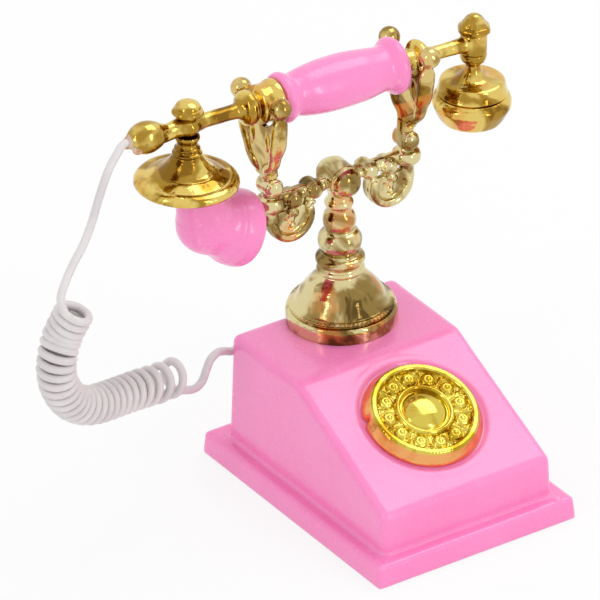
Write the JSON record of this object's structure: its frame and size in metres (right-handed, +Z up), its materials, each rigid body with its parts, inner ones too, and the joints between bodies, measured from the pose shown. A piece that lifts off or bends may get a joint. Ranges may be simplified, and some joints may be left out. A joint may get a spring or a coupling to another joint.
{
  "type": "doll-size cradle telephone",
  "caption": "Doll-size cradle telephone: sloping pink base with a turning dial, pillar and two-forked cradle, and a lift-off barrel-grip handset on a coiled cord.",
  "frame": {"origin": "centre of the plinth's underside", "axes": "+Z up, +X along the handset towards the receiver, -Y the dial side"},
  "size_m": [0.0731, 0.0412, 0.0575],
  "materials": {
    "pink_plastic": "gloss moulded plastic",
    "plated_gold": "bright gold plating",
    "steel": "plain",
    "glue": "clear glue bead",
    "cord_white": "soft satin plastic"
  },
  "bodies": {
    "base": {"base_housing": "pink_plastic", "base_cover": "pink_plastic", "pillar": "plated_gold", "pillar_screw": "steel", "cradle_bar": "plated_gold", "end_post_left": "plated_gold", "end_post_right": "plated_gold", "fork_left": "plated_gold", "fork_right": "plated_gold", "cord_coil": "cord_white", "cord_tail": "cord_white", "cord_knot": "cord_white"},
    "dial": {"dial": "plated_gold", "dial_retainer": "steel"},
    "handset": {"handset_grip": "pink_plastic", "left_arm": "plated_gold", "left_finial": "plated_gold", "transmitter_bell": "plated_gold", "mouthpiece_horn": "pink_plastic", "right_arm": "plated_gold", "right_finial": "plated_gold", "receiver_drum": "plated_gold", "receiver_cap": "plated_gold", "cord_socket_bead": "glue", "cord_lead": "cord_white"}
  },
  "joints": [
    {"name": "dial_spin", "type": "hinge", "parent": "base", "child": "dial", "pos_m": [0.0004, -0.00762, 0.01388], "axis": [0, -0.4329, 0.9015], "continuous": true},
    {"name": "handset_lift", "type": "slide", "parent": "base", "child": "handset", "axis": [0, 0, 1], "range_m": [0, 0.028]}
  ]
}
